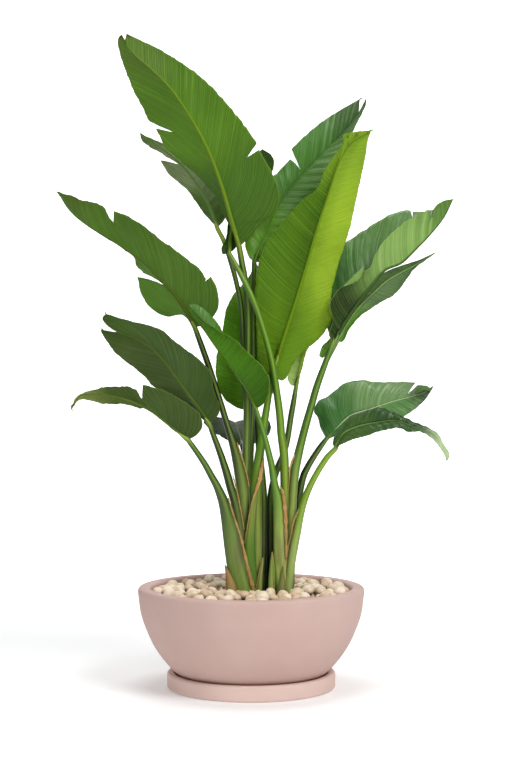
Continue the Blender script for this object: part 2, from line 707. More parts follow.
def stalk_line(path, steps):
    """The middle line of a stalk and its half width all along."""
    knots = np.array(path, dtype=float)
    halves = np.stack([np.arange(len(knots)), knots[:, 3]], axis=1)
    return smooth(surveyed(knots[:, :3]), steps), smooth(halves, steps)[:, 1]


def add_stalk(sheet, leaf):
    """The stalk: round where it is slim, flatter in its sheath, and tapered into the midrib."""
    centres, halves = stalk_line(leaf["stalk"], STALK_STEPS)
    reach = np.linspace(0, 1, REACH_STEPS + 1)[1:]
    rib = smooth(surveyed(leaf["rib"]), LINE_STEPS)
    centres = np.vstack([centres, walk(rib, reach * STALK_REACH)])
    taper = halves[-1] * (1 - STALK_TAPER * eased(reach, 0, 1))
    flat = ROUND_STALK + (halves - ROUND_STALK) * SHEATH_DEPTH
    depths = np.where(halves < ROUND_STALK, halves, flat)
    tube(sheet, centres, np.concatenate([halves, taper]), np.concatenate([depths, taper]), 2)


def add_ribbon(sheet, path, draw, slot, thinness=0.12, unevenness=0.3, along=None):
    """A thin ribbon with an uneven edge: a papery margin, a dried wisp, or the flap of a sheath."""
    line, widths = stalk_line(path, RIBBON["steps"])
    wave = wobble(np.arange(len(line)) * RIBBON_WAVE["step"], draw, RIBBON_WAVE["longest"])
    ragged = widths * (1 + unevenness * wave)
    depths = np.maximum(thinness * widths, RIBBON["thinnest"])
    tube(sheet, line, ragged, depths, slot, RIBBON["sides"], along)


def sheet_object(name, sheet, finishes):
    """The object that a sheet's points and polygons make."""
    points, facts = sheet.arrays()
    made = mesh_object(name, points * MM, sheet.polygons, finishes, sheet.slots)
    give_facts(made, facts)
    return made


def margin(lean, tears, *lobes, slant=SLANT):
    """Half a blade: how far it leans back, its tears as (share of the length, where the tear stops
    as a share of the width), and the outline of each lobe between them, from the foot to the tip."""
    return {"lean": lean, "tears": tears, "lobes": [list(lobe) for lobe in lobes], "slant": slant}


# What can hang on a leaf, in the order in which it is made: the number of its finish, how thin and
# how uneven it is, and for a fold the place along the blade whose tone it takes.
RIBBONS = {
    "flaps": (2, 0.2, 0.03), "papery": (3, 0.12, 0.3), "wisps": (1, 0.3, 0.1),
    "folds": (1, 0.15, 0.15, 0.7),
}


def make_leaf(name, seed, upper, under, stem, **leaf):
    """One leaf as one mesh: blade, stalk with its sheath, and the sheath's flaps and papery margins.

    The midrib starts where the stalk ends. Both margins start there, and end at the midrib's tip
    unless the leaf is forked."""
    leaf = {"shows": "under", **leaf}
    leaf["rib"] = [leaf["stalk"][-1][:3], *leaf["rib"]]
    foot, tip = (leaf["rib"][end][:2] for end in (0, -1))
    for side in ("left", "right"):
        leaf[side]["lobes"][0].insert(0, foot)
        if not leaf.get("forked"):
            leaf[side]["lobes"][-1].append(tip)
    draw = random.Random(seed)
    sheet = thickened(blade_sheet(leaf, draw), leaf)
    add_stalk(sheet, leaf)
    for kind, manner in RIBBONS.items():
        for path in leaf.get(kind, []):
            add_ribbon(sheet, path, draw, *manner)
    finishes = [
        blade_finish(name + "_upper", **upper),
        blade_finish(name + "_under", **under),
        stalk_finish(name + "_stalk", stem),
        papery,
    ]
    return sheet_object(name, sheet, finishes)


# Leaf tissue: side veins run out from the midrib as fine lines with pleats between them, the midrib
# and the margin are paler, and the green is patchy and changes from the foot to the tip.
BLADE_TONES = ("left", "right", "foot", "tip", "vein", "midrib", "margin")
BLADE_VALUES = {"gloss": 0.4, "rib": 1.4, "bands": 0.22, "foot_end": 0.58, "hollow": 0.1}
tissue, given, results = group_tree(
    "leaf_tissue",
    {**dict.fromkeys(BLADE_TONES, "colour"), **dict.fromkeys(BLADE_VALUES, "value")},
    {"Colour": "colour", "Roughness": "value", "Height": "value"},
)


def streaks_along(tree, value, scale, detail=2.0):
    """Uneven stripes over one value."""
    inputs = {"W": value, "Scale": scale, "Detail": detail}
    return node(tree, "ShaderNodeTexNoise", inputs, noise_dimensions="1D").outputs["Fac"]


def darker(tree, factor, tone, by=(0.5, 0.58, 0.46, 1.0)):
    return mix(tree, factor, tone, by, "MULTIPLY")


VEIN_PERIOD = 4.6  # mm
SCORCHED = colour("3c3a1a")
DRIED = colour("4a4020")

# The green goes from half to half, and eases over to the tones of the foot and of the tip.
side = ramp(tissue, fact_of(tissue, "side"), -0.2, 0.2)
vein = fact_of(tissue, "vein")
share = fact_of(tissue, "share")
from_rib = fact_of(tissue, "from_rib")
along = fact_of(tissue, "along")
drift = times(tissue, noise(tissue, 11.0, 2.0), 0.22)
place = plus(tissue, along, drift)
green = mix(tissue, side, given["left"], given["right"])
past_foot = calculate(tissue, "SUBTRACT", place, given["foot_end"])
beyond_foot = ramp(tissue, past_foot, -0.3, 0.0)
green = mix(tissue, beyond_foot, given["foot"], green)
green = mix(tissue, ramp(tissue, place, 0.76, 1.04), green, given["tip"])

# Dark patches and broad bands, and pale glints along some of the pleats, weaker at the foot.
patches = ramp(tissue, noise(tissue, 6.5, 3.0), 0.42, 0.68)
green = darker(tissue, times(tissue, patches, 0.42), green)
broad = ramp(tissue, streaks_along(tissue, vein, 0.06, 1.0), 0.35, 0.7)
green = darker(tissue, times(tissue, broad, given["bands"]), green)
glints = ramp(tissue, streaks_along(tissue, plus(tissue, vein, 300.0), 0.09, 2.0), 0.5, 0.75)
glints = times(tissue, glints, ramp(tissue, noise(tissue, 16.0, 2.0), 0.4, 0.6))
glints = times(tissue, glints, ramp(tissue, beyond_foot, 0.0, 1.0, 0.3, 1.0))
vein_tone = mix(tissue, ramp(tissue, beyond_foot, 0.0, 1.0, 0.45, 1.0), given["foot"], given["vein"])
green = mix(tissue, times(tissue, glints, given["bands"]), green, vein_tone)

# Fine streaks along the veins, and lines at uneven steps for the veins themselves, which run over
# the shaded hollow beside the midrib.
fine = streaks_along(tissue, vein, 0.45, 3.0)
green = mix(tissue, ramp(tissue, fine, 0.5, 0.72, 0.0, 0.24), green, vein_tone)
green = darker(tissue, ramp(tissue, fine, 0.36, 0.5, 0.3, 0.0), green)
uneven = times(tissue, streaks_along(tissue, vein, 0.12, 1.0), 2.4)
turns = plus(tissue, calculate(tissue, "DIVIDE", vein, VEIN_PERIOD), uneven)
from_line = calculate(tissue, "SUBTRACT", calculate(tissue, "FRACT", turns), 0.5)
line = ramp(tissue, calculate(tissue, "ABSOLUTE", from_line), 0.34, 0.5)
shaded = times(tissue, ramp(tissue, share, 0.1, 0.55, 1.0, 0.0), given["hollow"])
green = darker(tissue, shaded, green)
green = mix(tissue, times(tissue, line, 0.2), green, vein_tone)

# The margin is pale, and scorched towards the tip, which has dried brown.
rim = ramp(tissue, share, 0.975, 0.995)
green = mix(tissue, times(tissue, rim, 0.4), green, given["margin"])
scorched = times(tissue, rim, ramp(tissue, place, 0.7, 1.0, 0.0, 0.7))
green = mix(tissue, scorched, green, SCORCHED)
near_tip = plus(tissue, along, times(tissue, share, 0.02))
dried = ramp(tissue, near_tip, 0.985, 1.01)
dried = times(tissue, dried, ramp(tissue, share, 0.35, 1.0, 0.25, 1.0))
green = mix(tissue, dried, green, DRIED)

# The midrib has its own tone, and a dark border on both sides.
tapered = plus(tissue, 0.25, calculate(tissue, "SUBTRACT", 1.0, along))
on_rib = calculate(tissue, "DIVIDE", from_rib, times(tissue, given["rib"], tapered))
green = darker(tissue, ramp(tissue, on_rib, 1.0, 2.4, 0.7, 0.0), green)
rib_mask = ramp(tissue, on_rib, 0.8, 1.2, 0.9, 0.0)
green = mix(tissue, rib_mask, green, given["midrib"])
feed(tissue, results, {"Colour": green})

# Dull patches, and a fine relief of pleats and wrinkles that leaves the midrib smooth.
dull = ramp(tissue, noise(tissue, 24.0, 3.0), 0.3, 0.7, 0.0, 0.14)
feed(tissue, results, {"Roughness": plus(tissue, given["gloss"], dull)})
pleat = calculate(tissue, "SINE", times(tissue, turns, 2 * math.pi))
beyond_rib = ramp(tissue, share, 0.02, 0.12)
relief = times(tissue, times(tissue, pleat, beyond_rib), 0.4)
relief = plus(tissue, relief, streaks_along(tissue, vein, 0.3, 2.0))
height = plus(tissue, relief, times(tissue, noise(tissue, 60.0, 3.0), 0.5))
feed(tissue, results, {"Height": height})

# Stalk tissue: smooth and ribbed lengthwise, yellower at the blade's joint, and in the sheath low
# down mottled with grey and dull purple.
STALK_TONES = ("low", "high", "joint", "shine")
stem, given, results = group_tree(
    "stalk_tissue", dict.fromkeys(STALK_TONES, "colour"), {"Colour": "colour", "Height": "value"}
)
along = fact_of(stem, "along")
across = fact_of(stem, "share")
DULL_PURPLE = colour("5f4f3c")
GREY_GREEN = colour("a9b878")
stripes = streaks_along(stem, fact_of(stem, "vein"), 0.5, 3.0)
green = mix(stem, ramp(stem, along, 0.2, 0.62), given["low"], given["high"])
green = mix(stem, ramp(stem, along, 0.88, 0.95), green, given["joint"])
green = darker(stem, ramp(stem, stripes, 0.4, 0.65, 0.0, 0.5), green)

# The mottles and pale flecks of the sheath fade out at the height where the stalks leave it.
rise = node(stem, "ShaderNodeSeparateXYZ", {0: node(stem, "ShaderNodeTexCoord").outputs["Object"]})
low_down = ramp(stem, rise.outputs["Z"], 0.24, 0.46, 1.0, 0.0)
mottle = ramp(stem, noise(stem, 30.0, 4.0, (1, 1, 0.22)), 0.46, 0.66)
dusky = times(stem, times(stem, mottle, low_down), 0.65)
green = mix(stem, dusky, green, DULL_PURPLE)
pale = ramp(stem, noise(stem, 22.0, 3.0, (1, 1, 0.2)), 0.46, 0.7, 0.0, 0.6)
green = mix(stem, times(stem, pale, low_down), green, GREY_GREEN)

# A lengthwise shine a little to one side of the middle, and shade at both edges.
from_middle = calculate(stem, "ABSOLUTE", calculate(stem, "SUBTRACT", across, 0.2))
above_sheath = calculate(stem, "SUBTRACT", 1.0, times(stem, low_down, 0.6))
shine = times(stem, ramp(stem, from_middle, 0.1, 0.5, 0.27, 0.0), above_sheath)
green = mix(stem, shine, green, given["shine"])
green = darker(stem, ramp(stem, across, 0.6, 1.0, 0.0, 0.5), green)
green = darker(stem, ramp(stem, across, -1.0, -0.2, 0.8, 0.0), green)
feed(stem, results, {"Colour": green, "Height": stripes})


def toned(names, codes):
    return {name: colour(code) for name, code in zip(names, codes.split())}


def blade_finish(name, tones, **values):
    """The material of one face of a blade, with its tones in the order of BLADE_TONES."""
    material, tree, shader = new_material(name)
    values = {**BLADE_VALUES, **values}
    look = node(tree, "ShaderNodeGroup", {**toned(BLADE_TONES, tones), **values}, node_tree=tissue)
    relief = bump(tree, look.outputs["Height"], 0.0008, 0.55)
    feed(tree, shader, {"Base Color": look.outputs["Colour"], "Roughness": look.outputs["Roughness"]})
    shine = 0.14 if values["gloss"] > 0.4 else 0.32
    feed(tree, shader, {"Normal": relief, "Specular IOR Level": shine})
    return material


def stalk_finish(name, tones, shine="a6c83a"):
    """The material of one stalk and its sheath, with its tones in the order of STALK_TONES."""
    material, tree, shader = new_material(name)
    inputs = toned(STALK_TONES, f"{tones} {shine}")
    look = node(tree, "ShaderNodeGroup", inputs, node_tree=stem)
    relief = bump(tree, look.outputs["Height"], 0.0006, 0.5)
    feed(tree, shader, {"Base Color": look.outputs["Colour"], "Normal": relief})
    feed(tree, shader, {"Roughness": 0.36, "Specular IOR Level": 0.35})
    return material


# The dried edge of a sheath: straw coloured, with brown fibres and a dark brown rim.
papery, tree, shader = new_material("papery_sheath_margin")
fibres = streaks_along(tree, fact_of(tree, "vein"), 0.8, 3.0)
paper = mix(tree, noise(tree, 60.0, 4.0), colour("b07e38"), colour("ecc87c"))
paper = mix(tree, ramp(tree, fibres, 0.42, 0.62, 0.0, 0.6), paper, colour("6a4626"))
frayed = ramp(tree, noise(tree, 45.0, 3.0, (1, 1, 0.4)), 0.5, 0.62, 0.0, 0.55)
paper = mix(tree, frayed, paper, colour("8a8a48"))
edge = ramp(tree, calculate(tree, "ABSOLUTE", fact_of(tree, "share")), 0.6, 0.98, 0.0, 0.75)
paper = mix(tree, edge, paper, colour("3f2a18"))
feed(tree, shader, {"Base Color": paper, "Normal": bump(tree, fibres, 0.0006), "Roughness": 0.8})

leaf = make_leaf(
    "tall_left", 1,
    upper=dict(tones="3c6020 42681e 35561a 3f6020 6a9236 7a8c2c 9fb84a", gloss=0.38),
    under=dict(tones="527b1e 4b7310 3c5f15 526e26 8cb840 6c8618 86a03c", gloss=0.5, rib=1.2, bands=0.12),
    stem="7a9448 38540a 66781a",
    stalk=[(-8, 150, 22, 8), (-10, 300, 23, 8.5), (-12, 400, 16, 8.5), (-10, 472, 9, 7.5),
        (-8.5, 540, 4.5, 7.3), (-7, 652, 1, 6.6), (-7, 762, 1, 6.5), (-13.7, 820, 0, 6.4),
        (-17.5, 840, -2, 6.3), (-24, 878, -8, 5.6)],
    rib=[(-40, 936, -22), (-58, 998, -38), (-86, 1072, -58), (-118, 1132, -76), (-162, 1196, -94),
        (-202, 1236, -106), (-238, 1268, -116), (-252.5, 1291, -119)],
    left=margin(26, [(0.45, 0.67)],
        [(-35, 908), (-56, 944), (-72, 978), (-102, 1012), (-152, 1060), (-172, 1078), (-182, 1100),
         (-191, 1116)],
        [(-192, 1122), (-206, 1132), (-218, 1156), (-234, 1190), (-250, 1228), (-262, 1260), (-267, 1286),
         (-265, 1297), (-259, 1303)]),
    right=margin(32, [(0.27, 0.74)],
        [(2, 902), (20, 928), (44, 942), (56, 972), (48, 1012), (30, 1046), (15, 1073)],
        [(12, 1085), (-6, 1114), (-42, 1156), (-76, 1194), (-108, 1226), (-142, 1248), (-182, 1272),
         (-218, 1290), (-249, 1305)]),
    wisps=[[(-252, 1294, -121, 0.5), (-250, 1286, -121, 1.3), (-245, 1274, -120, 1.1),
        (-240, 1262, -118, 0.6)]],
    forked=True,
)
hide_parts("leaf_tall_left")

# ---------------------------------------------------------------- rolled leaf
# The second leaf of the left fan, still half rolled along its midrib. Its underside has the grey
# bloom of a young blade, and its tip has shrivelled to a whisker.

leaf = make_leaf(
    "rolled_left", 2,
    upper=dict(tones="3f5c24 3f5c24 3a541c 5a6a30 6b8a48 6a8236 a9ad62", gloss=0.5),
    under=dict(tones="7c8c60 84946a 54722e 5c7a38 a0ae88 5c7a3a a8b070", gloss=0.6, rib=1.2),
    stem="6f8f45 37521a 8a9a2e",
    stalk=[(-27, 150, 21, 7.5), (-26, 300, 33, 8), (-19, 400, 34, 7), (-12, 472, 27, 6),
        (-10, 540, 20.5, 5.6), (-13, 600, 17, 5.4), (-17, 700, 15, 5.2), (-21, 762, 14, 5),
        (-30, 808, 11, 5), (-42, 852, 12, 5), (-54, 888, 13.5, 4.8), (-68, 916, 13, 4.5)],
    rib=[(-82, 956, 16), (-102, 992, 19), (-130, 1032, 22), (-162, 1062, 24), (-194, 1086, 26),
        (-223, 1107, 28)],
    left=margin(14, [(0.55, 0.3)],
        [(-88, 938), (-110, 968), (-136, 998), (-162, 1022), (-174, 1038), (-180, 1052)],
        [(-172, 1058), (-188, 1069), (-204, 1080), (-219, 1091)]),
    right=margin(24, [],
        [(-52, 934), (-46, 962), (-60, 1006), (-96, 1048), (-140, 1072), (-176, 1084), (-204, 1097)]),
    pleats=(15, 0.8),
)
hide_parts("leaf_rolled_left")

# ---------------------------------------------------------------- narrow leaf
# A slim leaf behind the tall one, bright green low down. Its stalk is the longest and most curved: it
# rises from the right of the clump and crosses over to the left.

leaf = make_leaf(
    "narrow_left", 3,
    upper=dict(tones="3a5c1a 3a5c1a 30501a 30501a 5f8a38 5a7a20 a0b850"),
    under=dict(tones="3a5b0d 3c5e18 2c4a12 2f4a18 4c7024 4c6a14 9ab048", gloss=0.45, rib=2),
    stem="7f9220 56801c 5f7c22",
    stalk=[(54, 150, 9, 7.5), (56, 200, 8, 8), (62, 280, 3.5, 8.5), (65, 334, 1.5, 8.8), (67, 380, -2, 9),
        (66.5, 440, -5, 9), (65, 470, -7, 8.8), (60.5, 500, -9, 8), (57.3, 540, -11, 7.6),
        (52.2, 580, -12.5, 7.2), (40.5, 652, -15, 6.7), (23.5, 716, -16, 6.2), (4, 772, -17, 6),
        (-20, 822, -15, 5.6), (-44, 866, -8, 4.2)],
    rib=[(-41, 900, 5), (-30, 950, 14), (-14, 990, 18), (4, 1030, 21), (22, 1074, 23)],
    left=margin(-3, [],
        [(-56, 863), (-59, 876), (-51, 893), (-46, 930), (-42, 970), (-28, 1010), (-6, 1046)]),
    right=margin(8, [],
        [(-33, 874), (-18, 900), (6, 940), (28, 990), (42, 1028), (46, 1048), (38, 1064)]),
)
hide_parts("leaf_narrow_left")

# ---------------------------------------------------------------- upper right leaf
# The upper face of a dark glossy blade, turned to the front, torn nearly to its midrib halfway up.
# Its tip has split in two.

leaf = make_leaf(
    "upper_right", 4,
    upper=dict(
        tones="427620 487224 588a06 34561e 86ac72 4f7434 8fae58",
        gloss=0.34, rib=1, bands=0.3, foot_end=0.56,
    ),
    under=dict(tones="587a3a 587a3a 48682a 587a3a 78985a 6a8a3c 9ab060", gloss=0.5, rib=2),
    stem="6f8f45 3c5a1c 4c6e22",
    stalk=[(-5, 150, 41, 7.5), (-5, 250, 41, 8), (-4, 350, 39, 7.5), (-2, 450, 36, 7),
        (1, 520, 31.5, 6.5), (4, 600, 26, 6.2), (4, 732, 24, 6), (5, 792, 25, 5.6), (6, 848, 26, 5)],
    rib=[(22, 892, 32), (42, 942, 38), (68, 984, 46), (106, 1028, 54), (138, 1062, 64), (184, 1108, 78),
        (215, 1145, 89)],
    left=margin(-6, [(0.54, 0.18)],
        [(-5, 858), (-12, 886), (-6, 930), (12, 978), (36, 1012), (58, 1032), (77, 1054)],
        [(81, 1074), (98, 1092), (138, 1126), (178, 1152), (217, 1174)], slant=0.7),
    right=margin(4, [],
        [(24, 850), (62, 888), (102, 946), (142, 1000), (172, 1049), (195, 1092), (215, 1131),
         (229, 1163), (230.5, 1177.5)], slant=0.45),
    wisps=[[(215, 1170, 84, 1), (219, 1175, 84, 1.3), (224, 1176, 84, 0.6)]],
    pleats=(19, 1.3),
    forked=True,
    shows="upper",
)
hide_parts("leaf_upper_right")

# ---------------------------------------------------------------- bright leaf in the middle
# The youngest full blade, lime green, seen from below against the light, with a torn-off tip.
# Its sheath wraps the whole middle of the clump.

leaf = make_leaf(
    "middle_bright", 5,
    upper=dict(tones="6a962a 7fae2a 5f8a20 7fae2a a8cc58 8aa636 b8cc60", gloss=0.42),
    under=dict(
        tones="436b04 92b126 5e860e 7e9f22 98bc36 64820e 88a838",
        gloss=0.5, rib=2, bands=0.05, hollow=0.5,
    ),
    stem="839133 5c8a14 8aa030",
    stalk=[(11, 150, 1, 10.5), (10, 200, 0, 11), (10, 300, 0, 12), (10, 392, 0, 12), (14, 442, 0, 10),
        (19, 480, 0, 8.6), (27, 532, 1, 7.5), (35.5, 582, 2, 6.2), (46, 636, 2, 5)],
    rib=[(64, 692, -2), (92, 778, -8), (114, 852, -14), (134, 922, -20), (154, 982, -26),
        (178, 1052, -34), (202, 1086, -40), (240, 1111, -46)],
    left=margin(14, [],
        [(42, 614), (30, 624), (15, 650), (10, 712), (8, 790), (16, 850), (30, 884), (58, 922), (83, 950),
         (102, 972), (134, 996), (146, 1030), (166, 1062), (182, 1086), (184, 1102),
         (204, 1108)], slant=0.6),
    right=margin(26, [],
        [(50, 618), (60, 611), (72, 620), (84, 644), (106, 670), (136, 694), (158, 726), (164, 744),
         (160, 778), (168, 818), (186, 878), (200, 928), (209, 970), (218, 1008), (228, 1056),
         (234, 1094)], slant=1.05),
    papery=[[(25, 456, -10, 1.6), (21, 434, -13, 4), (17, 412, -14, 4.6), (9, 388, -14.5, 3),
        (2, 368, -16.5, 1.6), (-5, 335, -17.5, 1.1), (-9, 310, -17.5, 1.1), (-13.5, 284, -17.5, 1)]],
    flaps=[[(12, 400, -11, 2), (7.5, 375, -12, 5.5), (3, 350, -12, 7.5), (0, 320, -12.5, 8.5),
        (-3, 285, -13, 10.5), (-2, 250, -14, 11), (3, 215, -15, 9), (8, 180, -14, 5)]],
    wisps=[[(230, 1103, -47, 2.4), (237, 1110, -47, 1.8), (242, 1112, -47, 1.1), (245, 1108, -47, 0.5)],
        [(192, 1096, -44, 3), (196, 1104, -44, 2.2), (202, 1108, -44, 0.6)],
        [(210, 1099, -45, 2.6), (214, 1107, -45, 2), (219, 1110, -45, 0.6)]],
    folds=[[(186, 1099, -45, 0.8), (190, 1092, -48, 3.2), (187, 1080, -50, 3.4), (182, 1066, -52, 2.2),
        (177, 1052, -54, 0.6)]],
    pleats=(13, 0.45),
)
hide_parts("leaf_middle_bright")

# ---------------------------------------------------------------- folded leaf at the right
# A big blade folded up along its midrib: its far half shows the dark glossy upper face and its
# near half the pale underside.

leaf = make_leaf(
    "right_folded", 6,
    upper=dict(tones="5c8044 5c8044 3c6a2c 325426 94ba88 6f9550 9ab868", gloss=0.24, rib=1.2, bands=0.55),
    under=dict(
        tones="7a9e50 86aa58 22380a 5c8434 a8c47c 3a5620 a8bc70",
        gloss=0.5, rib=2, bands=0.38, foot_end=0.64,
    ),
    stem="b0c066 406814 7a9640",
    stalk=[(70, 150, 21, 7.5), (72, 200, 20, 8.2), (77, 260, 15.5, 9), (80, 312, 10.5, 9),
        (82, 362, 7, 9), (84.5, 402, 4, 9), (89, 440, 0.5, 9.3), (93.5, 460, 0, 8.8), (98.3, 480, 0, 8.2),
        (108.6, 520, 1, 7.8), (120, 560, 2, 7.3), (131.5, 600, 2, 7), (149, 648, 2, 6), (164, 688, 2, 5)],
    rib=[(188, 728, 5), (218, 772, 8), (242, 802, 9), (268, 832, 8), (300, 846, 6), (330, 874, 4),
        (358, 903, 0), (386, 938, -4), (404, 974, -8)],
    left=margin(46, [(0.7, 0.8)],
        [(152, 720), (152, 770), (164, 820), (181, 878), (216, 906), (258, 932), (300, 949), (319, 950)],
        [(322, 950), (340, 949), (372, 956)], slant=0.5),
    right=margin(-22, [(0.8, 0.75)],
        [(155, 704), (164, 728), (158, 762), (168, 784), (184, 800), (218, 826), (238, 838), (250, 864),
         (264, 888), (290, 914), (316, 934), (355, 953)],
        [(362, 938), (368, 958), (384, 970)], slant=0.5),
    papery=[[(90, 467, -3, 1.2), (82, 450, -8, 2), (78, 436, -9.5, 1.8), (76, 412, -9.5, 1.2),
        (74, 390, -8, 0.9)]],
    folds=[[(184, 799, -14, 0.8), (198, 808, -16, 4.5), (211, 818, -17, 7), (220, 830, -16, 4),
        (225, 840, -14, 0.8)]],
    pleats=(21, 1.7),
    shows="upper",
)
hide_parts("leaf_right_folded")

# ---------------------------------------------------------------- leaf under the folded one
# A narrower blade that hangs below the folded leaf. Its greyish underside shows, with a small dark
# lobe at its foot.

leaf = make_leaf(
    "right_under", 7,
    upper=dict(tones="3f6434 3f6434 35561c 3f6434 6a8a58 7f9f60 8fa860"),
    under=dict(tones="5c7743 637e50 6c9f37 4a6a3c 82a06a 7f9c5c 96ac6a", gloss=0.55, rib=2, bands=0.3),
    stem="6f8a45 3f5e22 5f7c34",
    stalk=[(80, 150, 50, 6.8), (80, 200, 49.5, 7), (81, 260, 47, 7.2), (83, 312, 42, 7.2),
        (86, 400, 31, 7), (98, 480, 23, 6.5), (108.6, 520, 20.5, 6), (120, 560, 19.5, 6),
        (132, 600, 18.5, 5.6), (150, 648, 16.5, 5), (172, 690, 14, 4.5)],
    rib=[(198, 736, 20), (222, 766, 22), (248, 790, 22), (274, 812, 22), (300, 827, 20), (330, 843, 18),
        (370, 868, 14)],
    left=margin(4, [],
        [(162, 683), (151, 669), (142, 657), (136, 661), (140, 677), (152, 690), (166, 704), (190, 734),
         (222, 778), (250, 810), (268, 828), (300, 841), (338, 853)]),
    right=margin(-12, [],
        [(182, 689), (198, 714), (222, 744), (258, 766), (288, 784), (312, 816), (330, 838)]),
    pleats=(20, 0.9),
)
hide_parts("leaf_right_under")

# ---------------------------------------------------------------- low leaf at the right
# The glossy upper face of a low blade that reaches out to the right, with a pale midrib groove and a
# dried fold near its tip.

leaf = make_leaf(
    "low_right_upper", 8,
    upper=dict(tones="608646 50803a 3c7030 1c3010 a4bf8c c0d29c 8fae70", gloss=0.28, rib=1.1, bands=0.32),
    under=dict(tones="4f7038 54783c 48682c 4f7038 7c9a66 7a9a50 8fa868", gloss=0.5, rib=2),
    stem="6f8c48 243c12 4c6c28",
    stalk=[(79, 150, 35, 6.5), (79, 200, 34, 6.6), (83, 260, 31, 7), (88, 312, 26, 7.2),
        (93, 362, 20, 7.3), (104.5, 420, 17.5, 7), (114, 440, 17, 6.5), (126, 460, 17, 6.1),
        (139.5, 480, 18, 5.6), (150, 494, 20, 4.5)],
    rib=[(170, 514, 24), (198, 541, 30), (240, 555, 34), (282, 569, 36), (324, 580, 36), (350, 589, 34),
        (365, 600, 32)],
    left=margin(46, [(0.75, 0.2)],
        [(140, 514), (134, 536), (126, 548), (134, 572), (148, 577), (164, 590), (184, 603), (216, 610),
         (260, 609), (310, 608), (330, 604)],
        [(324, 592), (334, 601), (350, 601), (358, 597)], slant=0.4),
    right=margin(-10, [],
        [(166, 498), (190, 514), (230, 526), (270, 532), (306, 540), (332, 557), (350, 576),
         (361, 593)], slant=0.5),
    wisps=[[(326, 582, 26, 1.5), (336, 592, 25, 4.5), (348, 596, 25, 4.5), (358, 592, 27, 2.4),
        (364, 600, 30, 0.6)]],
    pleats=(24, 1.2),
    shows="upper",
)
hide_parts("leaf_low_right_upper")

# ---------------------------------------------------------------- drooping leaf at the right
# The lowest leaf at the right: it bows over, and its long tip twists round until the underside shows.

leaf = make_leaf(
    "low_right_drooping", 9,
    upper=dict(tones="1e420b 264b10 3c5c1c c4d6a4 6f9458 7c9a50 9cb47c", gloss=0.28, rib=1),
    under=dict(tones="87a06a 98b080 7c9850 c0ccae b2c4a0 8aa060 b0bc8a", gloss=0.5, rib=1.6),
    stem="afc372 799c1f 6a8c2c",
    stalk=[(72, 150, 5, 8.5), (73.5, 200, 4, 8.8), (79, 242, 1, 9), (85.5, 282, -2, 9.3),
        (92, 312, -3.5, 8.6), (98, 342, -4, 7.8), (106.2, 372, -5, 7.2), (117.8, 400, -6, 6.4),
        (128.2, 420, -7, 6.1), (140, 440, -8.5, 6), (154, 460, -10, 5.7), (168, 474, -12, 5)],
    rib=[(184, 504, -17), (212, 519, -22), (250, 527, -28), (292, 531, -34), (326, 519, -38),
        (356, 506, -42), (374, 490, -45), (386, 470, -48), (391, 450, -50)],
    left=margin(18, [],
        [(164, 484), (170, 500), (184, 512), (188, 530), (202, 543), (222, 547), (262, 556), (302, 541),
         (330, 525), (360, 513), (376, 502), (385, 484), (395, 470), (396, 458)]),
    right=margin(-16, [],
        [(184, 484), (208, 495), (238, 503), (268, 511), (298, 516), (316, 509), (338, 508), (358, 496),
         (376, 480), (388, 460)]),
    papery=[[(95, 353, -14, 1), (90, 341, -14, 1.7), (85, 330, -13.5, 2), (79, 300, -12, 1.6),
        (74, 280, -10, 1.4), (70, 240, -8, 1.2)]],
    pleats=(16, 0.9),
    shows="upper",
)
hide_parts("leaf_low_right_drooping")

# ---------------------------------------------------------------- upper leaf at the left
# A long blade that reaches to the left, its dull olive underside showing. It is torn near both ends,
# and its tip ends in a dried hook.

leaf = make_leaf(
    "left_upper", 10,
    upper=dict(tones="3c6018 3c6018 35561a 3c6018 64883c 5f7c28 8fa850"),
    under=dict(
        tones="568028 456618 3a5e1a 435819 5c7c30 46580e 8fa848",
        gloss=0.5, rib=1.6, foot_end=0.25,
    ),
    stem="84983f 1a2c04 6c8420",
    stalk=[(-12, 150, 5, 7.5), (-12, 220, 6, 8), (-14, 300, 7.5, 10.5), (-17, 392, 0, 12.5),
        (-21, 422, -3, 12.5), (-27, 452, -6, 11.3), (-34, 478, -7, 9.2), (-42, 504, -7.5, 7.6),
        (-53.4, 540, -8, 6.5), (-59.4, 560, -9, 6.4), (-85.2, 640, -11, 6.2), (-99.2, 680, -13, 5.9),
        (-113, 718, -18, 5)],
    rib=[(-142, 768, -34), (-182, 814, -48), (-222, 851, -60), (-262, 880, -70), (-302, 905, -80),
        (-342, 931, -90), (-366, 954, -98), (-380, 976, -104), (-388, 990, -108)],
    left=margin(34, [(0.23, 0.22)],
        [(-130, 737), (-144, 744), (-166, 738), (-190, 746), (-206, 760), (-220, 784), (-226, 820)],
        [(-217, 825), (-228, 842), (-234, 860), (-260, 884), (-300, 914), (-345, 944)]),
    right=margin(26, [(0.12, 0.9), (0.56, 0.8)],
        [(-92, 722), (-78, 736), (-66, 758), (-68, 790), (-82, 819)],
        [(-90, 814), (-102, 832), (-142, 866), (-182, 894), (-214, 918), (-246, 938), (-275, 951)],
        [(-282, 938), (-288, 950), (-298, 961), (-322, 968), (-344, 973), (-358, 981), (-372, 984)]),
    papery=[[(-28, 487, -17, 1), (-23, 470, -18, 1.5), (-17, 452, -18.5, 1.6), (-12, 435, -18, 1.4),
        (-7, 416, -17, 1.2), (-4, 398, -16, 1)]],
    wisps=[[(-381, 980, -107, 2.4), (-386, 986, -108, 1.4), (-390, 988, -108, 0.5)]],
)
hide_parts("leaf_left_upper")

# ---------------------------------------------------------------- middle leaf at the left
# Its blade hangs to the left, with a tip that has split in two along the midrib. A thin papery margin
# runs down its sheath.

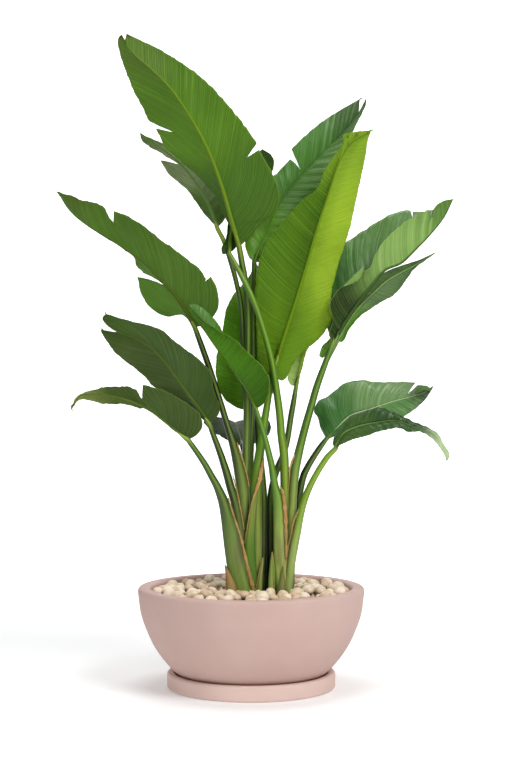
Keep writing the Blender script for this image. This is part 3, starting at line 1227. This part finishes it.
leaf = make_leaf(
    "left_middle", 11,
    upper=dict(tones="3a5a24 3a5a24 3a5a24 3a5a24 5c7c3c 55722a 809848", gloss=0.42),
    under=dict(tones="495c29 3d5421 384e1a 3e5615 5f7244 4a6018 7f944a", gloss=0.5, rib=2),
    stem="7c9844 2a4208 8a9a34",
    stalk=[(-30, 150, 2, 7.5), (-30, 210, 0.5, 8), (-25, 260, -5.5, 8.5), (-22, 302, -9, 8.5),
        (-30, 358, -14, 9), (-42, 400, -18, 8.5), (-47.3, 420, -20, 8.2), (-53.5, 440, -22, 7.5),
        (-60, 460, -24, 6.8), (-67.2, 480, -25.5, 6.2), (-74.9, 500, -27, 5.6), (-84, 524, -28, 4.5)],
    rib=[(-106, 556, -35), (-138, 600, -43), (-166, 638, -49), (-198, 674, -55), (-232, 694, -59),
        (-266, 708, -62)],
    left=margin(22, [],
        [(-96, 535), (-120, 555), (-150, 573), (-190, 597), (-214, 618), (-242, 642), (-268, 664),
         (-288, 688), (-301, 711), (-284, 708)]),
    right=margin(14, [],
        [(-66, 542), (-62, 560), (-74, 590), (-84, 630), (-112, 660), (-146, 685), (-182, 712),
         (-222, 726), (-262, 736), (-290, 743), (-298, 734), (-284, 717)]),
    papery=[[(-37, 422, -30, 1), (-31, 400, -29, 1.4), (-25, 374, -27, 1.5), (-19, 342, -24, 1.4),
        (-14, 312, -21, 1.1)]],
    wisps=[[(-284, 738, -64, 2.4), (-290, 743, -64, 1.6), (-293, 749, -64, 0.6)],
        [(-296, 712, -62, 1.6), (-302, 716, -62, 0.6)]],
)
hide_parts("leaf_left_middle")

# ---------------------------------------------------------------- low leaf at the left
# The lowest leaf at the left: a short bowed blade on a thin stalk, and the broadest sheath of the
# clump, whose orange-brown papery margin runs right across the front.

leaf = make_leaf(
    "left_low", 12,
    upper=dict(tones="46622c 46622c 3f5c24 5a7034 6a8646 66803a 869a50", gloss=0.42),
    under=dict(tones="5b6f2e 40541a 405420 84904a 687c4c 52661a 8a9a50", gloss=0.5, rib=2),
    stem="7e9847 38581a 8a9a3c",
    stalk=[(-14, 150, -17, 24), (-16, 192, -19, 25), (-29, 252, -23, 21.5), (-35, 282, -25, 19.5),
        (-41, 312, -27, 17), (-48, 342, -30, 13.5), (-56, 370, -34, 10.5), (-68.5, 400, -38, 7.8),
        (-79.5, 420, -42, 6.9), (-90.5, 440, -46, 6.3), (-103.3, 460, -50, 5.7), (-126, 492, -58, 5)],
    rib=[(-162, 518, -70), (-202, 549, -84), (-242, 569, -96), (-282, 580, -106), (-316, 584, -114),
        (-342, 580, -119), (-358, 556, -122)],
    left=margin(20, [],
        [(-140, 509), (-170, 531), (-204, 555), (-228, 557), (-262, 563), (-296, 565), (-322, 571),
         (-344, 571)]),
    right=margin(24, [(0.38, 0.62)],
        [(-108, 503), (-98, 520), (-104, 546), (-126, 564), (-158, 584), (-192, 595), (-219, 600)],
        [(-225, 584), (-230, 592), (-244, 600), (-274, 599), (-306, 594), (-334, 588), (-352, 576)]),
    papery=[[(-46, 376, -43, 1.3), (-34, 338, -44, 1.8), (-20, 295, -42, 2.4), (-10, 252, -38, 3.2),
        (-1, 215, -33, 4), (7, 184, -28, 4.4)]],
    wisps=[[(-354, 564, -122, 2.6), (-359, 557, -122, 1.6), (-357, 549, -122, 0.5)],
        [(-357, 561, -122, 1.4), (-363, 560, -122, 0.5)]],
)
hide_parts("leaf_left_low")

# ---------------------------------------------------------------- small leaf in front
# A small blade folded along its midrib, which crosses in front of the clump from the right foot
# towards the left.

leaf = make_leaf(
    "front_folded", 13,
    upper=dict(tones="447802 468202 487010 4c7a2c 6a9a30 7a9c40 8fb04c", gloss=0.34, rib=1.2),
    under=dict(tones="427404 437c04 3a6408 46701a 5c8c28 4c6c10 9ab848", gloss=0.42, rib=1.8),
    stem="b6ca64 528024 5f8430",
    stalk=[(59, 150, -9, 9.5), (59, 192, -9, 10.5), (58, 250, -11, 12), (56.5, 310, -14, 12),
        (56, 345, -15, 12), (53, 376, -17, 11), (47, 402, -18.5, 7.6), (44.2, 420, -19.5, 7.4),
        (41, 440, -20.5, 6.7), (36.5, 460, -21.5, 6.3), (25.5, 504, -24.5, 5.3), (10, 554, -28, 3.8)],
    rib=[(-10, 594, -34), (-38, 634, -42), (-66, 672, -50), (-92, 708, -58), (-122, 748, -66),
        (-125, 762, -68)],
    left=margin(-12, [],
        [(26, 566), (36, 590), (37, 612), (24, 636), (0, 661), (-30, 690), (-60, 707), (-98, 734),
         (-119, 755)]),
    right=margin(24, [],
        [(18, 572), (22, 600), (10, 636), (-20, 672), (-50, 700), (-64, 722), (-84, 744), (-110, 764)]),
    papery=[[(58, 400, -28, 1.2), (64, 386, -26.5, 3), (67, 364, -25, 4.2), (69, 330, -22.5, 4.2),
        (70, 292, -20.5, 3.2), (70, 255, -19, 2)]],
    shows="upper",
)
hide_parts("leaf_front_folded")

# ---------------------------------------------------------------- leaf behind the stalks
# A plain oval blade behind the upright stalks, its bright underside showing between them. Its own
# dark stalk stands among them.

leaf = make_leaf(
    "behind_stalks", 14,
    upper=dict(tones="3f6a10 3f6a10 3f6a10 3f6a10 62902c 6a8a20 8fb040", gloss=0.42),
    under=dict(tones="4e8408 4e8408 4a7a04 8ab838 6ea21e 56780c 8aa838", gloss=0.48, rib=2),
    stem="2a3614 3c5c14 5c7c24",
    stalk=[(24, 150, 19, 7.5), (24, 250, 20, 8), (24.5, 330, 23, 8.3), (24, 380, 26, 8.2),
        (21, 420, 29, 7.8), (17, 460, 33.5, 7), (13.5, 500, 38, 6), (11, 530, 41, 5.6), (6, 556, 42, 5)],
    rib=[(0, 600, 44), (-3, 660, 46), (0, 720, 48), (4, 780, 50), (10, 846, 52)],
    left=margin(-4, [],
        [(-20, 554), (-44, 566), (-60, 584), (-71, 628), (-67, 672), (-57, 712), (-51, 750), (-36, 782),
         (-8, 814)]),
    right=margin(8, [],
        [(21, 562), (42, 584), (54, 620), (58, 670), (54, 720), (44, 770), (28, 815)]),
)
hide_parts("leaf_behind_stalks")

# ---------------------------------------------------------------- pale leaf behind the bright one
# The pale underside of a narrow young blade, mostly hidden. It stands on a dark stalk a few
# centimetres behind the bright leaf.

leaf = make_leaf(
    "pale_right", 15,
    upper=dict(tones="5f7f45 5f7f45 5f7f45 5f7f45 8aa46a 90a84a a8b878", gloss=0.45),
    under=dict(tones="8aa848 cfe09c a0bc64 8aa848 c4d8a0 7c9a20 a8b878", gloss=0.55, rib=1.6),
    stem="1e2810 425c26 6a8438",
    stalk=[(38, 150, 34, 8.2), (38, 300, 34, 8.2), (39, 380, 32, 6.8), (43, 404, 30, 6.6),
        (49, 425, 29, 6.6), (55.5, 443, 28, 6.4), (63, 460, 27.5, 6.2), (69.5, 480, 27, 6),
        (73.6, 500, 28, 6), (79.6, 540, 31, 6), (83.3, 560, 34, 5.8), (90, 600, 40, 4.2)],
    rib=[(98, 630, 42), (104, 660, 44), (110, 700, 46), (114, 750, 48), (116, 800, 50), (112, 850, 52)],
    left=margin(4, [],
        [(80, 602), (73, 614), (74, 630), (80, 654), (78, 694), (82, 740), (92, 800)]),
    right=margin(8, [],
        [(94, 612), (101, 634), (108, 657), (116, 682), (126, 712), (136, 752), (135, 800)]),
)
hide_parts("leaf_pale_right")

# ---------------------------------------------------------------- grey leaf at the back
# A low leaf that points straight back from the clump. Only its foreshortened upper face is seen, and
# its short stalk rises behind the others.

leaf = make_leaf(
    "low_back", 16,
    upper=dict(tones="1d330c 253d0f 2c3e16 283a18 4c5e3a 4c6030 6c7c4c", gloss=0.5, rib=1.2),
    under=dict(tones="4f6540 4f6540 4f6540 4f6540 7c9070 70864c 8c9c70", gloss=0.55, rib=1.6),
    stem="2c3818 34461e 44562c",
    stalk=[(14, 150, 38, 6), (10, 300, 47, 6), (0, 400, 55, 6), (-10, 450, 63, 5.5), (-18, 480, 74, 5)],
    rib=[(-22, 500, 112), (-26, 515, 160), (-30, 525, 220), (-33, 527, 280), (-36, 521, 330)],
    left=margin(0, [],
        [(-44, 489), (-74, 507), (-94, 526), (-93, 537), (-76, 536), (-54, 530)]),
    right=margin(0, [],
        [(8, 486), (30, 498), (39, 514), (36, 528), (14, 531), (-12, 528)]),
    shows="upper",
)
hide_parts("leaf_low_back")

# ---------------------------------------------------------------- stubs of older leaves
# What the oldest leaves left behind at the foot: a brown stub at the left and two green and brown
# wedges of sheath, dried at their pointed ends.

STUB_STEPS = 12


def make_stub(name, path, thinness, finishes, husks=()):
    """A short sheath without a blade, which ends in a point, and the dried husks at its edges."""
    sheet = Sheet()
    centres, halves = stalk_line(path, STUB_STEPS)
    tube(sheet, centres, halves, halves * thinness, 0)
    draw = random.Random(len(name))
    for husk in husks:
        add_ribbon(sheet, husk, draw, slot=1)
    return sheet_object(name, sheet, finishes)


brown_husk = stalk_finish("brown_husk", "8f8a52 a9804c 6a4626")
green_husk = stalk_finish("green_husk", "8fa050 8a9a4a a98a58")

stub_path = [(-37, 150, -30, 9), (-39, 192, -31, 11), (-45, 218, -30, 6.5), (-50, 235, -29, 2.6),
    (-52, 242, -28.5, 1)]
stub = make_stub("old_stub", stub_path, 0.32, [brown_husk, papery])
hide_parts("old_leaf_stub")

middle_path = [(16, 150, -14, 5), (16, 192, -14, 6), (19, 225, -13.5, 4), (23, 249, -13, 1.6),
    (24, 257, -13, 0.8)]
middle_edge = [(8, 186, -18, 0.8), (13, 212, -17.5, 1.1), (18, 236, -16, 1.1), (23, 256, -14, 0.6)]
wedge = make_stub("middle_wedge", middle_path, 0.5, [green_husk, papery], [middle_edge])
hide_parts("sheath_wedge_middle")

right_path = [(60, 150, -23, 8), (61, 192, -23, 8.5), (63, 220, -22.5, 4.5), (64, 240, -22, 1)]
right_edge = [(70, 188, -26, 1), (68, 208, -25.5, 1.2), (66, 224, -24, 1.1), (64, 241, -22.5, 0.6)]
wedge = make_stub("right_wedge", right_path, 0.34, [green_husk, papery], [right_edge])
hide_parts("sheath_wedge_right")

# ---------------------------------------------------------------- young shoot
# The next leaf, still a rolled green spike without a blade, with the brown point of the bract that
# it came out of.

shoot_green = stalk_finish("shoot_green", "84a034 86a43a a08a4a")
shoot_path = [(41, 150, -14, 6.5), (41, 200, -14, 7.5), (42, 230, -14, 6.4), (42, 254, -14, 3.6),
    (42, 268, -14, 1)]
shoot_seam = [(46, 190, -21, 0.8), (45, 215, -20.5, 0.9), (43.5, 240, -19, 0.8), (42, 262, -16, 0.6)]
shoot = make_stub("rolled_shoot", shoot_path, 0.85, [shoot_green, papery], [shoot_seam])
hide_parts("young_shoot")

# ---------------------------------------------------------------- stage, light and camera
# A plain pale sweep of backdrop paper under soft lights, the stronger one from the front right. The
# camera stands level at the standpoint of the survey, and looks straight ahead.

SWEEP = {"front": -6.0, "back": 4.8, "bend": 1.8, "top": 7.0, "half_width": 7.0}
LENS = 73.125

paper_white, tree, shader = new_material("backdrop_paper")
fleck = noise(tree, 3.0, 2.0)
flecked = mix(tree, fleck, colour("f2f3f3"), colour("f6f7f7"))
place = node(tree, "ShaderNodeTexCoord").outputs["Object"]
behind = ramp(tree, node(tree, "ShaderNodeSeparateXYZ", {0: place}).outputs["Y"], 0.25, 2.4)
distance = node(tree, "ShaderNodeVectorMath", {0: place}, operation="LENGTH").outputs["Value"]
seen = node(tree, "ShaderNodeLightPath").outputs["Is Camera Ray"]
far_off = times(tree, ramp(tree, distance, 1.8, 3.8), seen)
pale = calculate(tree, "MAXIMUM", behind, far_off)
glow = mix(tree, pale, colour("6c6c6c"), colour("ffffff"))
feed(tree, shader, {"Base Color": flecked, "Emission Color": glow, "Emission Strength": 0.95})
feed(tree, shader, {"Roughness": 0.9, "Specular IOR Level": 0.1})

bend = SWEEP["bend"]
profile = [(SWEEP["front"], 0.0), *arc((SWEEP["back"], bend), bend, -90, 0, 24), (0, 0)][:-1]
profile.append((SWEEP["back"] + bend, SWEEP["top"]))
sweep_points = [(x, y, z) for x in (-SWEEP["half_width"], SWEEP["half_width"]) for y, z in profile]
count = len(profile)
sweep_faces = [(i, i + count, i + count + 1, i + 1) for i in range(count - 1)]
mesh = bpy.data.meshes.new("backdrop_sweep")
mesh.from_pydata(sweep_points, [], sweep_faces)
mesh.materials.append(paper_white)
mesh.polygons.foreach_set("use_smooth", [True] * len(mesh.polygons))
sweep = bpy.data.objects.new("backdrop_sweep", mesh)
bpy.context.scene.collection.objects.link(sweep)


def soft_light(name, place, size, power, aim=(0, 0, 0.55)):
    """A round lamp of a size in metres and a power in watts, turned to what it is aimed at."""
    data = bpy.data.lights.new(name, "AREA")
    data.shape = "DISK"
    data.size = size
    data.energy = power
    lamp = bpy.data.objects.new(name, data)
    lamp.location = place
    lamp.rotation_euler = (Vector(aim) - Vector(place)).to_track_quat("-Z", "Y").to_euler()
    bpy.context.scene.collection.objects.link(lamp)


soft_light("key_light", (1.9, -2.3, 2.9), 1.8, 84)
soft_light("fill_light", (-2.6, -2.4, 2.0), 2.2, 26)
soft_light("top_light", (0.0, 0.1, 3.2), 1.6, 42)
soft_light("low_light", (0.9, -3.0, 0.5), 1.4, 11, (0, 0, 0.1))

# The air lights the plant only faintly, but shows as pale as the paper wherever the paper ends.
world = bpy.data.worlds.new("studio_air")
world.use_nodes = True
tree = world.node_tree
seen = node(tree, "ShaderNodeLightPath").outputs["Is Camera Ray"]
strength = ramp(tree, seen, 0.0, 1.0, 0.18, 1.0)
feed(tree, tree.nodes["Background"], {"Color": (1.0, 1.0, 1.0, 1.0), "Strength": strength})
bpy.context.scene.world = world
bpy.context.scene.view_settings.view_transform = "Standard"

camera_data = bpy.data.cameras.new("camera")
camera_data.lens = LENS
camera = bpy.data.objects.new("camera", camera_data)
camera.location = STANDPOINT * MM
camera.rotation_euler = (math.pi / 2, 0, 0)
bpy.context.scene.collection.objects.link(camera)
bpy.context.scene.camera = camera
